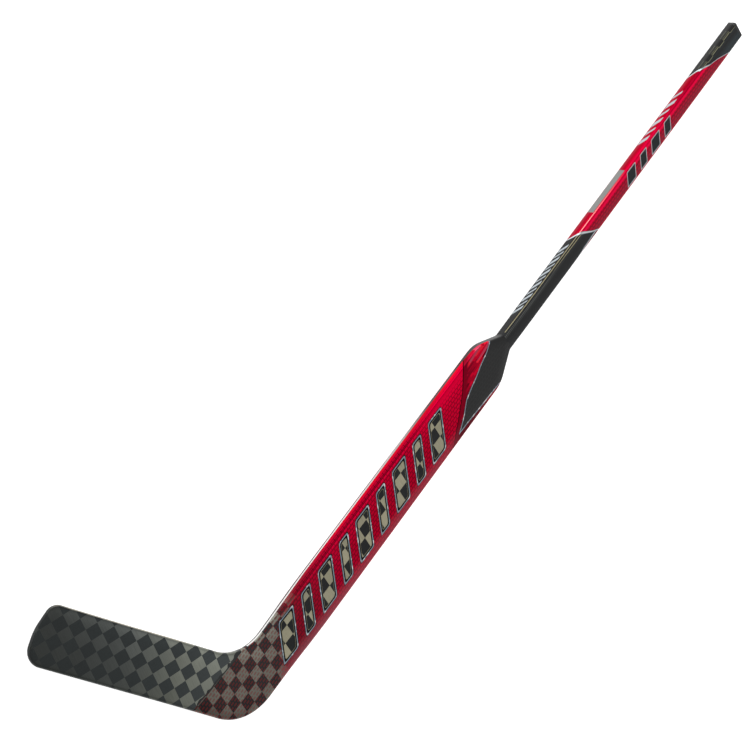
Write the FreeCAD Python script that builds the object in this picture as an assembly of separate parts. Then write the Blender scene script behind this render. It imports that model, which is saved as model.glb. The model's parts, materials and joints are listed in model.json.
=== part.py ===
import FreeCAD, Part
import math
import os

# A composite hockey goalie stick: hollow shaft, sandwich paddle and bent sandwich blade.
# It is built flat, with +Y up the shaft, -X towards the toe and +Z out of the convex face.
# The heel corner, where the paddle's outer edge would meet the sole, is at Y = 0.
# At the end the whole stick is rolled onto the surface that it lies on.
# Lengths are in millimetres, angles in degrees.

# Whole stick
stick_length = 1433.0  # heel corner to butt, along the shaft
lie_angle = 119.0  # between the shaft and the sole
edge_radius = 3.0  # rounding of the rails' outer edges

# Shaft
shaft_width = 29.0
shaft_thick = 17.6
shaft_corner = 4.5
shaft_wall = 2.2
shaft_foot_length = 60.0  # above the throat, where the shaft grows from the paddle's thickness to its own

# Butt plug
cap_thick = 6.0
cap_edge = 1.6
spigot_length = 34.0
spigot_wall = 2.0

# Joint between shaft and throat
tenon_reach = 90.0  # up into the shaft
tongue_floor = 14.0  # left solid under the tongue that goes down into the throat
tongue_width = 19.0
tongue_thick = 9.0
foam_plug_length = 45.0

# Throat and shoulders
shoulder_radius = 57.0
shoulder_slope = 28.8  # straight flank, from the shaft's line
neck_radius = 10.0

# Paddle
paddle_length = 662.0  # heel corner to the start of the shoulders
paddle_width_heel = 83.0
paddle_width_top = 80.0
paddle_thick = 16.5
taper_start = 76.0  # the paddle thins towards the heel below taper_end
taper_end = 216.0
rail_width = 7.0
spar_width = 8.0

# Heel
heel_thick = 10.0
heel_radius = 100.0
inner_radius = 85.0
heel_block_top = 120.0

# Blade
blade_length = 376.0  # along the sole, round the bend
blade_height = 87.6
toe_height = 88.7
toe_thick = 6.6
bend_start = 62.0  # from the heel corner, where the blade joins the heel
bend_length = 130.0
bend_radius = 440.0
toe_rake = 18.3  # the toe's top corner stands back by this
toe_bulge = 6.7
toe_top_radius = 20.0
toe_bottom_radius = 23.0
toe_side_radius = 85.0
bridge_height = 7.0
toe_rail_length = 46.0

# Laminate and fits
skin_thick = 1.5
glue_gap = 0.1
overrun = 5.0  # how far a cutting body passes the body that it cuts

# Shares of the sizes that they follow, counts and the least length that matters
bulge_height_share = 0.53  # height of the toe's fullest point
rise_share = 0.325  # of the top edge past the bend: where its level and rising runs meet
rise_round_share = 0.56  # of that level run: the part that the arc between them takes
roll_steps = 20  # tries at the resting roll, each nearer than the last
tiny = 1e-6

# Directions and shapes that the sizes lead to
V = FreeCAD.Vector
up = V(0, 0, 1)
shaft_line = V(0, 1, 0)
heel_x = paddle_width_heel / 2
top_x = paddle_width_top / 2
bend_end = bend_start + bend_length
bend_turn = bend_length / bend_radius
margin = rail_width + overrun
blade_place = FreeCAD.Placement(V(heel_x, 0, 0), FreeCAD.Rotation(up, lie_angle - 90))
joint_point = blade_place.multVec(V(-bend_start, 0, 0))
joint_way = blade_place.Rotation.multVec(V(1, 0, 0))


# Closed wire in the XY plane through corners (x, y, radius), counter-clockwise
def rounded_wire(corners):
    bends = []
    for i, (x, y, radius) in enumerate(corners):
        here = V(x, y, 0)
        last = corners[i - 1]
        following = corners[(i + 1) % len(corners)]
        back = (V(last[0], last[1], 0) - here).normalize()
        ahead = (V(following[0], following[1], 0) - here).normalize()
        half = back.getAngle(ahead) / 2
        reach = radius / math.tan(half)
        middle = here + (back + ahead).normalize() * (radius / math.sin(half) - radius)
        bends.append((here + back * reach, middle, here + ahead * reach, radius))
    edges = []
    for i, (enter, middle, leave, radius) in enumerate(bends):
        if radius > tiny:
            edges.append(Part.Arc(enter, middle, leave).toShape())
        next_enter = bends[(i + 1) % len(bends)][0]
        if leave.distanceToPoint(next_enter) > tiny:
            edges.append(Part.LineSegment(leave, next_enter).toShape())
    return Part.Wire(edges)


# The same corners with every side moved inwards; outer corners tighten and inner ones open
def inset(corners, depth):
    points = [V(x, y, 0) for x, y, radius in corners]
    ways = [(points[(i + 1) % len(points)] - point).normalize() for i, point in enumerate(points)]
    moved = []
    for i, (x, y, radius) in enumerate(corners):
        before = ways[i - 1]
        after = ways[i]
        turn = before.cross(after).z
        gap = V(-after.y, after.x, 0) * depth - V(-before.y, before.x, 0) * depth
        step = gap.cross(after).z / turn
        place = points[i] + V(-before.y, before.x, 0) * depth + before * step
        bend = radius - math.copysign(depth, turn)
        moved.append((place.x, place.y, max(bend, 0) if radius > tiny else 0))
    return moved


def box(low, high):
    size = high - low
    return Part.makeBox(size.x, size.y, size.z, low)


def prism(corners, depth):
    face = Part.Face(rounded_wire(corners))
    face.translate(up * -depth)
    return face.extrude(up * (2 * depth))


# A point on the blade's middle surface, at a distance along the sole
def bent(along):
    turned = min(max(along - bend_start, 0), bend_length)
    angle = turned / bend_radius
    past = max(along - bend_end, 0)
    run = min(along, bend_start) + bend_radius * math.sin(angle) + past * math.cos(angle)
    drop = bend_radius * (1 - math.cos(angle)) + past * math.sin(angle)
    return V(-run, 0, -drop)


def line(start, end):
    return Part.LineSegment(start, end).toShape()


def mirrored(point):
    return V(-point.x, point.y, point.z)


# Shoulders: an arc off the paddle's edge, a straight flank and a small arc into the shaft
flank = math.radians(shoulder_slope)
drop_in = top_x - shaft_width / 2
arc_drop = (shoulder_radius + neck_radius) * (1 - math.cos(flank))
flank_length = (drop_in - arc_drop) / math.sin(flank)
throat_length = (shoulder_radius + neck_radius) * math.sin(flank) + flank_length * math.cos(flank)
neck_y = paddle_length + throat_length


# Rounded rectangle across the shaft at a height, moved inwards by a depth.
# At its foot the shaft has the paddle's thickness and edges.
def shaft_wire(foot, depth, height):
    half_x = shaft_width / 2 - depth
    half_z = (paddle_thick if foot else shaft_thick) / 2 - depth
    corner = max((edge_radius if foot else shaft_corner) - depth, tiny)
    signs = ((1, -1), (1, 1), (-1, 1), (-1, -1))
    wire = rounded_wire([(half_x * sx, half_z * sz, corner) for sx, sz in signs])
    wire.Placement = FreeCAD.Placement(V(0, height, 0), FreeCAD.Rotation(V(1, 0, 0), 90))
    return wire


def shaft_bar(foot, depth, low, high):
    return Part.Face(shaft_wire(foot, depth, low)).extrude(shaft_line * (high - low))


# Flat outline of paddle, heel and the blade's root, moved inwards by a depth
def stick_outline(depth):
    far = 2 * margin - bent(bend_end).x
    sole_far = blade_place.multVec(V(-far, 0, 0))
    top_far = blade_place.multVec(V(-far, blade_height, 0))
    top_way = blade_place.Rotation.multVec(V(1, 0, 0))
    high = paddle_length + 2 * margin
    slant = (heel_x - top_x) / paddle_length
    edge_way = V(slant, 1, 0)
    inner_foot = V(-heel_x, 0, 0)
    step = (top_far - inner_foot).cross(top_way).z / edge_way.cross(top_way).z
    inner = inner_foot + edge_way * step
    corners = [
        (heel_x, 0, heel_radius),
        (heel_x - slant * high, high, 0),
        (slant * high - heel_x, high, 0),
        (inner.x, inner.y, inner_radius),
        (top_far.x, top_far.y, 0),
        (sole_far.x, sole_far.y, 0),
    ]
    return inset(corners, depth)


# Outline of the blade past the bend, X measured back towards the heel from the bend's end
def toe_outline(depth):
    reach = blade_length - bend_end
    bulge_y = toe_height * bulge_height_share
    bulge_x = reach - toe_rake * bulge_height_share + toe_bulge
    top_run = reach - toe_rake
    level_run = top_run * rise_share
    rise_angle = math.atan2(toe_height - blade_height, top_run - level_run)
    rise_radius = abs(level_run * rise_round_share / math.tan(rise_angle / 2))
    corners = [
        (2 * margin, blade_height, 0),
        (-level_run, blade_height, rise_radius),
        (toe_rake - reach, toe_height, toe_top_radius),
        (-bulge_x, bulge_y, toe_side_radius),
        (-reach, 0, toe_bottom_radius),
        (2 * margin, 0, 0),
    ]
    return inset(corners, depth)


# Paddle and heel between the two faces, each moved inwards by a depth.
# Below taper_end the faces close in on an S of two arcs.
def paddle_slab(depth):
    low = heel_thick / 2 - depth
    high = paddle_thick / 2 - depth
    run = taper_end - taper_start
    turn = 2 * math.atan2(high - low, run)
    radius = run / (2 * math.sin(turn))
    step = radius * math.sin(turn / 2)
    rise = radius * (1 - math.cos(turn / 2))
    side_x = -(paddle_width_heel + inner_radius)
    foot = -(blade_height + margin)
    top = paddle_length + margin
    edges = []
    for side in (1, -1):
        first = V(side_x, taper_start, low * side)
        last = V(side_x, taper_end, high * side)
        lower = first + V(0, step, rise * side)
        upper = last - V(0, step, rise * side)
        edges.append(line(V(side_x, foot, low * side), first))
        edges.append(Part.Arc(first, lower, (first + last) / 2).toShape())
        edges.append(Part.Arc((first + last) / 2, upper, last).toShape())
        edges.append(line(last, V(side_x, top, high * side)))
    edges.append(line(V(side_x, foot, low), V(side_x, foot, -low)))
    edges.append(line(V(side_x, top, high), V(side_x, top, -high)))
    wire = Part.Wire(Part.sortEdges(edges)[0])
    return Part.Face(wire).extrude(V(-2 * side_x, 0, 0))


# Everything on the blade's side of the heel joint
def blade_side():
    far = blade_length + overrun
    tool = box(V(-far, -far, -far), V(-bend_start, far, far))
    tool.Placement = blade_place
    return tool


# One face of the blade, side 1 or -1, moved inwards by a depth: an arc that thins the blade
# round the bend and a straight run in line with its end
def blade_face_edges(side, depth):
    root = heel_thick / 2
    lean = (toe_thick / 2 - root * math.cos(bend_turn)) / (1 - math.cos(bend_turn))
    full = bend_radius + lean * side
    radius = full - depth * side
    centre = V(-bend_start, 0, root * side - full)
    turns = (0, bend_turn / 2, bend_turn)
    at = [centre + V(-math.sin(turn), 0, math.cos(turn)) * radius for turn in turns]
    way = V(-math.cos(bend_turn), 0, -math.sin(bend_turn))
    end = at[2] + way * blade_length
    return [Part.Arc(*at).toShape(), line(at[2], end)], at[0], end


# Place whose XY plane lies in the straight part of the blade, at the end of the bend
def toe_place():
    turn = FreeCAD.Rotation(V(0, 1, 0), -math.degrees(bend_turn))
    return blade_place.multiply(FreeCAD.Placement(bent(bend_end), turn))


# The blade with its outline moved inwards by one depth and its faces by another
def blade_body(side_depth, face_depth):
    front, front_root, front_end = blade_face_edges(1, face_depth)
    back, back_root, back_end = blade_face_edges(-1, face_depth)
    edges = front + back + [line(front_root, back_root), line(front_end, back_end)]
    slab = Part.Face(Part.Wire(Part.sortEdges(edges)[0]))
    slab.translate(V(0, -margin, 0))
    slab = slab.extrude(V(0, toe_height + 2 * margin, 0))
    slab.Placement = blade_place.multiply(slab.Placement)
    far = blade_length + overrun
    past_bend = box(V(-far, -far, -far), V(0, far, far))
    past_bend.Placement = toe_place()
    toe = prism(toe_outline(side_depth), heel_thick + overrun)
    toe.Placement = toe_place().multiply(toe.Placement)
    root = slab.cut(past_bend).common(prism(stick_outline(side_depth), blade_length))
    tip = slab.common(past_bend).common(toe)
    return root.fuse(tip).removeSplitter().Solids[0]


# Edges where two faces meet at about a right angle, leaving out those on the given end planes
def rim_edges(body, ends):
    rims = []
    for edge in body.Edges:
        middle = edge.valueAt((edge.FirstParameter + edge.LastParameter) / 2)
        if any(abs((middle - point).dot(way)) < edge_radius / 10 for point, way in ends):
            continue
        normals = []
        for face in body.ancestorsOfType(edge, Part.Face):
            u, v = face.Surface.parameter(middle)
            normals.append(face.normalAt(u, v))
        if len(normals) == 2 and abs(normals[0].dot(normals[1])) < 1 / 2:
            rims.append(edge)
    return rims


def biggest(shape):
    return max(shape.Solids, key=lambda solid: solid.Volume)


parts = {}


# Shaft: a hollow tube with a tapered foot on the throat, closed at the butt by a plug.
# Its bore is narrower in the foot, where the tenon sits.
def make_shaft():
    top = stick_length - cap_thick
    foot_top = neck_y + shaft_foot_length
    tenon_top = neck_y + tenon_reach
    taper = Part.makeLoft([shaft_wire(True, 0, neck_y), shaft_wire(False, 0, foot_top)], True, True)
    tube = taper.fuse(shaft_bar(False, 0, foot_top, top)).removeSplitter()
    socket = shaft_bar(True, shaft_wall, neck_y - overrun, tenon_top)
    parts["shaft_tube"] = tube.cut(socket).cut(shaft_bar(False, shaft_wall, tenon_top, top + overrun))

    cap = shaft_bar(False, 0, top, stick_length)
    rim = [edge for edge in cap.Edges if min(v.Y for v in edge.Vertexes) > stick_length - tiny]
    cap = cap.makeChamfer(min(cap_edge, cap_thick / 2), rim)
    fit_depth = shaft_wall + glue_gap
    foot = top - spigot_length
    spigot = shaft_bar(False, fit_depth, foot, top)
    hollow = shaft_bar(False, fit_depth + spigot_wall, foot - overrun, top - spigot_wall)
    parts["butt_plug"] = cap.fuse(spigot.cut(hollow)).removeSplitter()

    tongue = tongue_box(0, neck_y)
    parts["shaft_tenon"] = shaft_bar(True, fit_depth, neck_y, tenon_top).fuse(tongue).removeSplitter()
    parts["shaft_foam_plug"] = shaft_bar(False, fit_depth, tenon_top, tenon_top + foam_plug_length)


# The tongue under the tenon, or its slot, with a clearance at the sides
def tongue_box(clearance, top):
    half_x = tongue_width / 2 + clearance
    half_z = tongue_thick / 2 + clearance
    return box(V(-half_x, paddle_length + tongue_floor, -half_z), V(half_x, top, half_z))


# Throat: shoulders that narrow from the paddle's width to the shaft's, with a slot for the tongue
def make_throat():
    half = shaft_width / 2
    sines = [math.sin(flank / 2), math.sin(flank)]
    falls = [1 - math.cos(flank / 2), 1 - math.cos(flank)]
    shoulder = [V(top_x, paddle_length, 0)]
    shoulder += [shoulder[0] + V(-fall, sine, 0) * shoulder_radius for sine, fall in zip(sines, falls)]
    neck = [V(half, neck_y, 0)]
    neck += [neck[0] + V(fall, -sine, 0) * neck_radius for sine, fall in zip(sines, falls)]
    edges = [line(mirrored(neck[0]), neck[0]), line(mirrored(shoulder[0]), shoulder[0])]
    for side in (V, mirrored):
        arcs = [[side(point) for point in points] for points in (shoulder, neck)]
        edges += [Part.Arc(*points).toShape() for points in arcs]
        edges.append(line(arcs[0][2], arcs[1][2]))
    face = Part.Face(Part.Wire(Part.sortEdges(edges)[0]))
    face.translate(up * (-paddle_thick / 2))
    block = face.extrude(up * paddle_thick)
    ends = [(shoulder[0], shaft_line), (neck[0], shaft_line)]
    block = block.makeFillet(edge_radius, rim_edges(block, ends))
    parts["throat_block"] = block.cut(tongue_box(glue_gap, neck_y + overrun))


# Paddle and heel: rails round the edge, skins on both faces, spar and cores between them
def make_paddle():
    far = paddle_length + stick_length
    above = box(V(-far, paddle_length, -far), V(far, far, far))
    outside = blade_side().fuse(above)
    deep = paddle_thick + overrun
    outer = biggest(prism(stick_outline(0), deep).common(paddle_slab(0)).cut(outside))
    ends = [(joint_point, joint_way), (V(0, paddle_length, 0), shaft_line)]
    outer = outer.makeFillet(edge_radius, rim_edges(outer, ends))
    middle = prism(stick_outline(rail_width), deep)
    rails = outer.cut(middle).Solids
    parts["paddle_inner_rail"] = min(rails, key=lambda solid: solid.CenterOfMass.x)
    parts["paddle_outer_rail"] = max(rails, key=lambda solid: solid.CenterOfMass.x)

    body = middle.common(paddle_slab(0)).cut(outside)
    filling = middle.common(paddle_slab(skin_thick)).cut(outside)
    skins = body.cut(filling)
    front = box(V(-far, -far, 0), V(far, far, far))
    parts["paddle_front_skin"] = biggest(skins.common(front))
    parts["paddle_back_skin"] = biggest(skins.cut(front))

    block = box(V(-far, -far, -far), V(far, heel_block_top, far))
    parts["heel_block"] = biggest(filling.common(block))
    core = filling.cut(block)
    half = spar_width / 2
    web = box(V(-half, -far, -far), V(half, far, far))
    parts["paddle_spar"] = biggest(core.common(web))
    inner = box(V(-far, -far, -far), V(-half, far, far))
    parts["paddle_inner_core"] = biggest(core.common(inner))
    parts["paddle_outer_core"] = biggest(core.cut(web).cut(inner))


# Blade: the same sandwich carried round the bend, with a bridge between two cores
def make_blade():
    outer = blade_body(0, 0)
    outer = outer.makeFillet(edge_radius, rim_edges(outer, [(joint_point, joint_way)]))
    rails = outer.cut(blade_body(rail_width, -overrun))
    far = blade_length + overrun
    toe = box(V(-far, -far, -far), V(toe_rail_length - blade_length, far, far))
    toe.translate(V(bend_end, 0, 0))
    toe.Placement = toe_place().multiply(toe.Placement)
    parts["blade_toe_rail"] = biggest(rails.common(toe))
    sides = rails.cut(toe)
    half_up = box(V(-far, blade_height / 2, -far), V(far, far, far))
    half_up.Placement = blade_place
    parts["blade_top_rail"] = biggest(sides.common(half_up))
    parts["blade_sole_rail"] = biggest(sides.cut(half_up))

    body = blade_body(rail_width, 0)
    filling = blade_body(rail_width, skin_thick)
    skins = body.cut(filling).Solids
    parts["blade_front_skin"] = max(skins, key=lambda solid: solid.CenterOfMass.z)
    parts["blade_back_skin"] = min(skins, key=lambda solid: solid.CenterOfMass.z)
    low = (blade_height - bridge_height) / 2
    strip = box(V(-far, low, -far), V(far, low + bridge_height, far))
    strip.Placement = blade_place
    lower = box(V(-far, -far, -far), V(far, low, far))
    lower.Placement = blade_place
    parts["blade_bridge"] = biggest(filling.common(strip))
    parts["blade_lower_core"] = biggest(filling.common(lower))
    parts["blade_upper_core"] = biggest(filling.cut(strip).cut(lower))


# Roll about the shaft's line that brings the toe and the paddle's outer edge to one level
def resting_roll():
    points = []
    for name in ("blade_toe_rail", "paddle_outer_rail"):
        points.append([(p.x, p.z) for p in parts[name].tessellate(edge_radius / 10)[0]])
    roll = 0
    for step in range(roll_steps):
        cos = math.cos(roll)
        sin = math.sin(roll)
        lows = [min(((z * cos - x * sin), x * cos + z * sin) for x, z in cloud) for cloud in points]
        roll += math.atan2(lows[1][0] - lows[0][0], lows[1][1] - lows[0][1])
    return math.degrees(roll)


make_shaft()
make_throat()
make_paddle()
make_blade()

roll = FreeCAD.Rotation(shaft_line, resting_roll())
whole = Part.makeCompound(list(parts.values()))
whole.Placement = FreeCAD.Placement(V(0, 0, 0), roll)
space = whole.optimalBoundingBox(False, False)
rest = FreeCAD.Placement(V(-space.Center.x, -space.Center.y, -space.ZMin), roll)

os.makedirs("parts", exist_ok=True)
for name, shape in parts.items():
    shape.Placement = rest.multiply(shape.Placement)
    shape.exportStep(os.path.join("parts", name + ".step"))
    print(name, "solids", len(shape.Solids), "valid", shape.isValid(), "volume", round(shape.Volume))
print("roll", round(roll.Angle * 180 / math.pi, 2), "shift", rest.Base)
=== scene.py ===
import json
import math
from functools import partial

import bmesh
import bpy
import numpy as np
from mathutils import Matrix


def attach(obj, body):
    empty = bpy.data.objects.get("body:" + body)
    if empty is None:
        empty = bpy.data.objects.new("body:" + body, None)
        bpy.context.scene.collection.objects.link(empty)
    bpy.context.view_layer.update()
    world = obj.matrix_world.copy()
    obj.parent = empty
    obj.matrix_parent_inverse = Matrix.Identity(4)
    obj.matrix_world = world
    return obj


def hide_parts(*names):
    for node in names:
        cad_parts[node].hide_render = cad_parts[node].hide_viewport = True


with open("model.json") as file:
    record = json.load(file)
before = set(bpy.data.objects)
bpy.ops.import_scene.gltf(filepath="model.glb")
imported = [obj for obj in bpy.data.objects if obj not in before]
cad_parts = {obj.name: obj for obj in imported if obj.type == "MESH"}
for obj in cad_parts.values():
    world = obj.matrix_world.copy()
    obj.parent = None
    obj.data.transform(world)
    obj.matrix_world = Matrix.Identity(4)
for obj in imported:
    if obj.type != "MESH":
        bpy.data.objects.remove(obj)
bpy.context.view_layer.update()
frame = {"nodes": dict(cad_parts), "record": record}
mounts = {mount["name"]: mount for mount in frame["record"]["mounts"]}
print("frame loaded")

# all sizes are millimetres in the stick's own axes: y up the shaft, -x to the toe, z out of the face
perMetre = 1000.0
stick = {"length": 1433.0, "edgeRadius": 3.0}
# how finely the surfaces are cut: rows of rings up to each level, and points round a ring
cuts = {
    "across": 44, "quarter": 6, "side": 5, "pathStep": 0.25, "arc": 96,
    "toe": (332.0, 60), "bend": (135.0, 60), "seam": 40, "heel": (110.0, 70), "taper": 40, "paddle": 90, "throat": 60,
    "foot": 24, "shaft": 160, "weld": 1e-7, "sharp": math.radians(40),
}
backAxis = mounts["paddle_back"]["axis"]
buttPoint = mounts["butt_end"]["pos_m"]
rollSin, rollCos = -backAxis[0], -backAxis[2]
shift = np.array(buttPoint) * perMetre - np.array([0.0, stick["length"], 0.0])


# Turns stick millimetres to the frame's metres: a roll about the shaft line, then the shift to the floor.
def toFrame(points):
    x, y, z = points[..., 0], points[..., 1], points[..., 2]
    turned = np.stack([x * rollCos + z * rollSin, y, z * rollCos - x * rollSin], axis=-1)
    return (turned + shift) / perMetre


paddle = {
    "heelHalf": 41.5, "topHalf": 40.0, "length": 662.0, "half": 8.25,
    "taperLow": 76.0, "taperHigh": 216.0,
    "heelRound": 100.0, "innerRound": 85.0,
    "shoulderRound": 57.0, "shoulderSlope": 28.8, "neckRound": 10.0,
    "softDrop": 0.9, "softWidth": 19.0,
}
blade = {
    "lie": 29.0, "length": 376.0, "height": 87.6, "rootHalf": 5.0, "toeHalf": 3.3,
    "bendStart": 62.0, "bendLength": 130.0, "bendRadius": 440.0,
    "riseShare": 0.325, "riseRoundShare": 0.56,
    "toeTop": (165.7, 88.7), "toeTopRound": 20.0,
    "toeSide": (181.0, 47.0), "toeSideRound": 85.0, "toeBottomRound": 23.0,
    "seamX": -53.0, "softDrop": 0.35,
}
shaft = {"half": 14.5, "halfDepth": 8.8, "round": 4.5, "footLength": 60.0, "capLength": 6.0}
lieCos, lieSin = math.cos(math.radians(blade["lie"])), math.sin(math.radians(blade["lie"]))
bendTurn = blade["bendLength"] / blade["bendRadius"]

# The shoulder: an arc off the paddle's edge, a straight flank and a small arc into the shaft, which meet at the neck.
shoulderLean = math.radians(paddle["shoulderSlope"])
shoulderArcs = paddle["shoulderRound"] + paddle["neckRound"]
flankAcross = paddle["topHalf"] - shaft["half"] - shoulderArcs * (1 - math.cos(shoulderLean))
neckY = paddle["length"] + shoulderArcs * math.sin(shoulderLean) + flankAcross / math.tan(shoulderLean)


# Blade millimetres, u back from the heel corner along the sole and v up the blade, to the flat plan x, y.
def planOf(u, v):
    return np.stack([paddle["heelHalf"] - u * lieCos - v * lieSin, v * lieCos - u * lieSin], axis=-1)


# The way back from the flat plan to u and v.
def bladeOf(plan):
    x, y = plan[..., 0] - paddle["heelHalf"], plan[..., 1]
    return -x * lieCos - y * lieSin, y * lieCos - x * lieSin


# Half the thickness over the plan: two halves of an S up the paddle, and a cosine fall round the blade's bend.
def halfThick(plan):
    u, _ = bladeOf(plan)
    y = plan[..., 1]
    rise = np.clip((y - paddle["taperLow"]) / (paddle["taperHigh"] - paddle["taperLow"]), 0, 1)
    ease = np.where(rise < 0.5, 2 * rise**2, 1 - 2 * (1 - rise) ** 2)
    flat = blade["rootHalf"] + (paddle["half"] - blade["rootHalf"]) * ease
    foot = np.clip((y - neckY) / shaft["footLength"], 0, 1)
    flat = flat + (shaft["halfDepth"] - paddle["half"]) * foot
    turn = np.clip(u - blade["bendStart"], 0, blade["bendLength"]) / blade["bendRadius"]
    fall = (np.cos(turn) - math.cos(bendTurn)) / (1 - math.cos(bendTurn))
    bent = blade["toeHalf"] + (blade["rootHalf"] - blade["toeHalf"]) * fall
    return np.where(u > blade["bendStart"], bent, flat)


# Lays the flat plan with height z over the bend: straight, then round an arc, then straight again.
def bend(plan, z):
    u, v = bladeOf(plan)
    turned = np.clip(u - blade["bendStart"], 0, blade["bendLength"])
    angle = turned / blade["bendRadius"]
    past = np.maximum(u - blade["bendStart"] - blade["bendLength"], 0)
    run = np.minimum(u, blade["bendStart"]) + blade["bendRadius"] * np.sin(angle) + past * np.cos(angle)
    drop = blade["bendRadius"] * (1 - np.cos(angle)) + past * np.sin(angle)
    xy = planOf(run + z * np.sin(angle), v)
    return np.concatenate([xy, (z * np.cos(angle) - drop)[..., None]], axis=-1)


# A polyline with each inner corner swapped for an arc of its radius, resampled at even steps along its length.
def roundedPath(corners, rounds, step):
    path = [corners[0]]
    for before, corner, after, radius in zip(corners, corners[1:], corners[2:], rounds):
        back = (before - corner) / np.linalg.norm(before - corner)
        ahead = (after - corner) / np.linalg.norm(after - corner)
        halfAngle = math.acos(np.clip(back @ ahead, -1, 1)) / 2
        centre = corner + (back + ahead) / np.linalg.norm(back + ahead) * radius / math.sin(halfAngle)
        start = corner + back * radius / math.tan(halfAngle)
        sweep = np.linspace(0, math.pi - 2 * halfAngle, cuts["arc"])[:, None]
        out = (start - centre) / radius
        path.extend(centre + radius * (np.cos(sweep) * out - np.sin(sweep) * back))
    path = np.array(path + [corners[-1]])
    along = np.concatenate([[0], np.cumsum(np.linalg.norm(np.diff(path, axis=0), axis=1))])
    even = np.linspace(0, along[-1], int(along[-1] / step))
    return np.stack([np.interp(even, along, path[:, k]) for k in range(2)], axis=-1)


# The outline: down the inner edge, along the blade's top, round the toe, back along the sole and up the outer edge.
toeStart = blade["bendStart"] + blade["bendLength"]
toeTop = planOf(toeStart + blade["toeTop"][0], blade["toeTop"][1])
toeSide = planOf(toeStart + blade["toeSide"][0], blade["toeSide"][1])
riseRun = blade["toeTop"][0] * blade["riseShare"]
riseLean = math.atan2(blade["toeTop"][1] - blade["height"], blade["toeTop"][0] - riseRun)
riseRound = riseRun * blade["riseRoundShare"] / math.tan(riseLean / 2)
shoulderTop = paddle["length"] + paddle["shoulderRound"] * math.tan(shoulderLean / 2)
neckCorner = neckY - paddle["neckRound"] * math.tan(shoulderLean / 2)
edgeLean = (paddle["heelHalf"] - paddle["topHalf"]) / paddle["length"]
innerU = (2 * paddle["heelHalf"] - blade["height"] * lieSin) / lieCos
innerU = innerU - edgeLean * planOf(innerU, blade["height"])[1] / lieCos
outlineCorners = np.array([
    (-shaft["half"], neckY + paddle["neckRound"]),
    (-shaft["half"], neckCorner),
    (-paddle["topHalf"], shoulderTop),
    planOf(innerU, blade["height"]),
    planOf(toeStart + riseRun, blade["height"]),
    toeTop,
    toeSide,
    planOf(blade["length"], 0.0),
    (paddle["heelHalf"], 0.0),
    (paddle["topHalf"], shoulderTop),
    (shaft["half"], neckCorner),
    (shaft["half"], neckY + paddle["neckRound"]),
])
outlineRounds = [
    paddle["neckRound"], paddle["shoulderRound"], paddle["innerRound"], riseRound,
    blade["toeTopRound"], blade["toeSideRound"], blade["toeBottomRound"], paddle["heelRound"],
    paddle["shoulderRound"], paddle["neckRound"],
]
outline = roundedPath(outlineCorners, outlineRounds, cuts["pathStep"])
tangent = np.gradient(outline, axis=0)
tangent = tangent / np.linalg.norm(tangent, axis=1)[:, None]
inward = np.stack([-tangent[:, 1], tangent[:, 0]], axis=-1)
toeTurn = np.argmin(np.linalg.norm(outline - toeSide, axis=1))
innerSide = (outline[toeTurn::-1], inward[toeTurn::-1])
outerSide = (outline[toeTurn:], inward[toeTurn:])


# Where a side of the outline last crosses a level of some measure of the plan, as an index along it.
def crossing(side, measure, level):
    above = measure(side[0]) > level
    last = np.nonzero(above[1:] != above[:-1])[0][-1]
    low, high = measure(side[0][last]), measure(side[0][last + 1])
    return last + (level - low) / (high - low)


# The edge's points and inward normals at places between its own points, by straight shares.
def sample(side, index):
    lower = np.minimum(index.astype(int), len(side[0]) - 2)
    share = (index - lower)[:, None]
    place = side[0][lower] * (1 - share) + side[0][lower + 1] * share
    normal = side[1][lower] * (1 - share) + side[1][lower + 1] * share
    return place, normal / np.linalg.norm(normal, axis=1)[:, None]


# The ring round one cross-section as weights: t from the inner to the outer edge, d inward from the edge,
# a and b how much of the flat side and of the rounding makes up the height. It starts in the middle of the back.
def ringWeights(across, quarter, side):
    half = np.linspace(0, 0.5, across // 2 + 1)[:-1]
    spread = np.concatenate([half, [0.5], 1 - half[::-1]])[1:-1]
    spread = 0.5 - 0.5 * np.cos(np.pi * spread)
    angle = np.linspace(0, np.pi / 2, quarter + 1)
    wall = np.linspace(1, -1, side + 2)[1:-1]
    rimD = np.concatenate([1 - np.sin(angle), 0 * wall, 1 - np.sin(angle[::-1])])
    rimA = np.concatenate([0 * angle + 1, wall, 0 * angle - 1])
    rimB = np.concatenate([np.cos(angle), 0 * wall, -np.cos(angle[::-1])])
    one = np.ones_like(spread)
    zero = np.zeros_like(rimD)
    t = np.concatenate([spread, zero + 1, spread[::-1], zero])
    d = np.concatenate([one, rimD, one, rimD[::-1]])
    a = np.concatenate([one, rimA, -one, rimA[::-1]])
    b = np.concatenate([one, rimB, -one, rimB[::-1]])
    middle = len(spread) + len(rimD) + len(spread) // 2
    return [np.roll(part, -middle) for part in (t, d, a, b)]


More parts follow.
